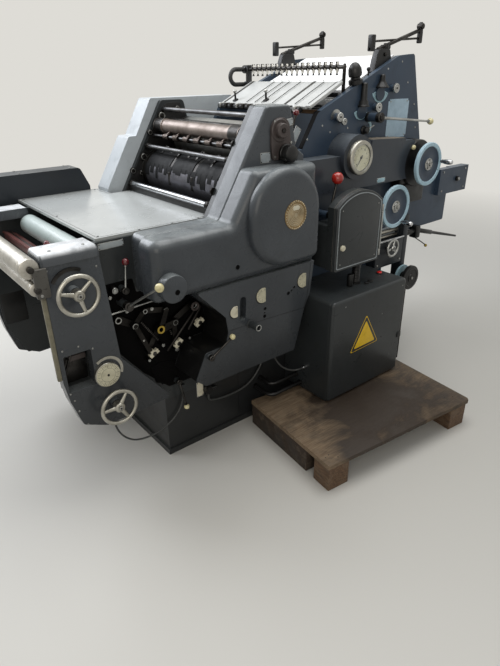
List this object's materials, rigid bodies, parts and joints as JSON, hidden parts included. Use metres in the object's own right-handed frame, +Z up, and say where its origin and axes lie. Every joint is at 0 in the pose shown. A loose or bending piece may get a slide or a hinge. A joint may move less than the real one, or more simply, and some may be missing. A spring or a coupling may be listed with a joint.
{
  "type": "offset printing press",
  "caption": "Sheet-fed offset printing press with a sloped feeder, cylinder unit, inking table, operator-side levers and handwheels, and an electrical cabinet on a pallet.",
  "frame": {"origin": "on the floor under the bed, in the middle of the machine's width", "axes": "+X along the machine towards the feeder, +Y towards the drive side, +Z up"},
  "size_m": [2.6029, 1.721, 1.76],
  "materials": {
    "grey_enamel": "gloss",
    "pale_enamel": "gloss",
    "blue_enamel": "semi-gloss",
    "table_enamel": "satin, worn",
    "pale_blue_enamel": "gloss, worn",
    "red_lacquer": "stained",
    "bright_steel": "polished",
    "oily_steel": "oiled",
    "worn_aluminium": "worn",
    "blanket_rubber": "matt",
    "hose_rubber": "matt",
    "white_board": "smooth",
    "brown_wood": "rough sawn"
  },
  "bodies": {
    "press": {"bed": "grey_enamel", "side_frame_operator": "grey_enamel", "side_frame_drive": "grey_enamel", "cross_members": "grey_enamel", "tower_casting": "grey_enamel", "tower_drive_unit": "oily_steel", "operator_casting": "grey_enamel", "casting_boss": "grey_enamel", "lower_cover": "grey_enamel", "gear_cover": "grey_enamel", "gauge_beam": "grey_enamel", "pressure_gauge": "bright_steel", "control_box": "grey_enamel", "delivery_plate_operator": "grey_enamel", "delivery_plate_drive": "grey_enamel", "end_rails": "bright_steel", "table_panel": "table_enamel", "ink_tray": "red_lacquer", "cross_rods": "bright_steel", "ring_bar": "bright_steel", "linkage": "oily_steel", "feed_board": "white_board", "feeder_plate_operator": "blue_enamel", "feeder_plate_drive": "blue_enamel", "sucker_bar": "oily_steel", "suction_hose": "hose_rubber", "paper_pile": "white_board", "pile_board": "brown_wood", "pile_guides": "oily_steel", "pile_drive": "bright_steel", "drive_cover": "pale_enamel", "ink_cover_drive": "grey_enamel", "lower_pipes": "hose_rubber", "cabinet_body": "grey_enamel", "pallet": "brown_wood", "socket_lead": "hose_rubber", "foot_lead": "hose_rubber", "cabinet_lead": "hose_rubber"},
    "tower_lever_body": {"tower_lever": "oily_steel"},
    "cover_lever_body": {"cover_lever": "oily_steel"},
    "foot_lever_body": {"foot_lever": "oily_steel"},
    "control_box_door_body": {"control_box_door": "grey_enamel"},
    "main_lever_body": {"main_lever": "oily_steel"},
    "ink_roller_body": {"ink_roller": "pale_blue_enamel"},
    "steel_roller_body": {"steel_roller": "bright_steel"},
    "blanket_cylinder_body": {"blanket_cylinder": "blanket_rubber"},
    "plate_cylinder_body": {"plate_cylinder": "worn_aluminium"},
    "delivery_lever_body": {"delivery_lever": "oily_steel"},
    "red_ball_lever_body": {"red_ball_lever": "oily_steel"},
    "delivery_wheel_upper_body": {"delivery_wheel_upper": "worn_aluminium"},
    "delivery_wheel_lower_body": {"delivery_wheel_lower": "worn_aluminium"},
    "feeder_lever_body": {"feeder_lever": "bright_steel"},
    "feeder_wheel_upper_body": {"feeder_wheel_upper": "pale_blue_enamel"},
    "feeder_wheel_lower_body": {"feeder_wheel_lower": "pale_blue_enamel"},
    "small_wheel_body": {"small_wheel": "worn_aluminium"},
    "adjusting_knob_body": {"adjusting_knob": "oily_steel"},
    "cabinet_door_body": {"cabinet_door": "grey_enamel"}
  },
  "joints": [
    {"name": "delivery_wheel_upper_turn", "type": "hinge", "parent": "press", "child": "delivery_wheel_upper_body", "pos_m": [-1.045, -0.475, 0.897], "axis": [0, 1, 0], "continuous": true},
    {"name": "delivery_wheel_lower_turn", "type": "hinge", "parent": "press", "child": "delivery_wheel_lower_body", "pos_m": [-0.963, -0.475, 0.418], "axis": [0, 1, 0], "continuous": true},
    {"name": "small_wheel_turn", "type": "hinge", "parent": "press", "child": "small_wheel_body", "pos_m": [0.653, -0.466, 0.712], "axis": [0, 1, 0], "continuous": true},
    {"name": "adjusting_knob_turn", "type": "hinge", "parent": "press", "child": "adjusting_knob_body", "pos_m": [0.792, -0.5, 0.523], "axis": [0, 1, 0], "continuous": true},
    {"name": "feeder_wheel_upper_turn", "type": "hinge", "parent": "press", "child": "feeder_wheel_upper_body", "pos_m": [0.822, -0.5, 1.125], "axis": [0, 1, 0], "continuous": true},
    {"name": "feeder_wheel_lower_turn", "type": "hinge", "parent": "press", "child": "feeder_wheel_lower_body", "pos_m": [0.589, -0.5, 0.946], "axis": [0, 1, 0], "continuous": true},
    {"name": "ink_roller_turn", "type": "hinge", "parent": "press", "child": "ink_roller_body", "pos_m": [-0.94, 0, 0.97], "axis": [0, 1, 0], "continuous": true},
    {"name": "steel_roller_turn", "type": "hinge", "parent": "press", "child": "steel_roller_body", "pos_m": [-0.229, 0, 1.328], "axis": [0, 1, 0], "continuous": true},
    {"name": "blanket_cylinder_turn", "type": "hinge", "parent": "press", "child": "blanket_cylinder_body", "pos_m": [-0.24, 0, 1.117], "axis": [0, 1, 0], "continuous": true},
    {"name": "plate_cylinder_turn", "type": "hinge", "parent": "press", "child": "plate_cylinder_body", "pos_m": [-0.06506, 0, 1.25368], "axis": [0, 1, 0], "continuous": true},
    {"name": "main_lever_swing", "type": "hinge", "parent": "press", "child": "main_lever_body", "pos_m": [0.104, -0.512, 0.985], "axis": [0, 1, 0], "range_deg": [-25, 25]},
    {"name": "feeder_lever_swing", "type": "hinge", "parent": "press", "child": "feeder_lever_body", "pos_m": [0.478, -0.445, 1.36], "axis": [0, -1, 0], "range_deg": [-8, 40]},
    {"name": "delivery_lever_swing", "type": "hinge", "parent": "press", "child": "delivery_lever_body", "pos_m": [-0.86, -0.44, 0.795], "axis": [0, 1, 0], "range_deg": [-30, 10]},
    {"name": "red_ball_lever_swing", "type": "hinge", "parent": "press", "child": "red_ball_lever_body", "pos_m": [-0.85, -0.41, 0.845], "axis": [0, 1, 0], "range_deg": [-15, 5]},
    {"name": "tower_lever_swing", "type": "hinge", "parent": "press", "child": "tower_lever_body", "pos_m": [-0.028, -0.392, 1.31], "axis": [0, 1, 0], "range_deg": [-10, 25]},
    {"name": "cover_lever_swing", "type": "hinge", "parent": "press", "child": "cover_lever_body", "pos_m": [-0.585, -0.556, 0.53], "axis": [0, 1, 0], "range_deg": [-10, 20]},
    {"name": "foot_lever_swing", "type": "hinge", "parent": "press", "child": "foot_lever_body", "pos_m": [-0.655, -0.4, 0.372], "axis": [0, 1, 0], "range_deg": [-20, 20]},
    {"name": "control_box_door_swing", "type": "hinge", "parent": "press", "child": "control_box_door_body", "pos_m": [0.364, -0.596, 0.9], "axis": [0, 0, 1], "range_deg": [0, 100]},
    {"name": "cabinet_door_swing", "type": "hinge", "parent": "press", "child": "cabinet_door_body", "pos_m": [0.506, -0.669, 0.4], "axis": [0, 0, 1], "range_deg": [0, 110]}
  ],
  "couplings": [
    {"joint": "plate_cylinder_turn", "follows": "blanket_cylinder_turn", "ratio": -1}
  ]
}
